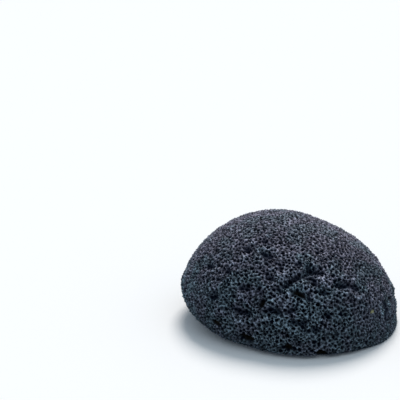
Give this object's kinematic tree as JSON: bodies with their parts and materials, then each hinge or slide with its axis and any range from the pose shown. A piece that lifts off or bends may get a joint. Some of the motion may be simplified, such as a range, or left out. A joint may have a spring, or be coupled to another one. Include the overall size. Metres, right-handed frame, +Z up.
{
  "type": "konjac sponge",
  "caption": "Half-ball cleansing sponge of dark charcoal konjac foam, with a finely pored skin, soft folds across its front and a flat foot; wetted and held in the hand to wash the face.",
  "frame": {"origin": "on the table, under the middle of the sponge's outline", "axes": "+Z up from the table; +X along the length of the oval outline, towards the low end that the crown leans to; +Y across it"},
  "size_m": [0.0828, 0.074, 0.04],
  "materials": {
    "konjac_foam": "matte open-cell foam"
  },
  "bodies": {
    "root": {"sponge_body": "konjac_foam"}
  },
  "joints": []
}
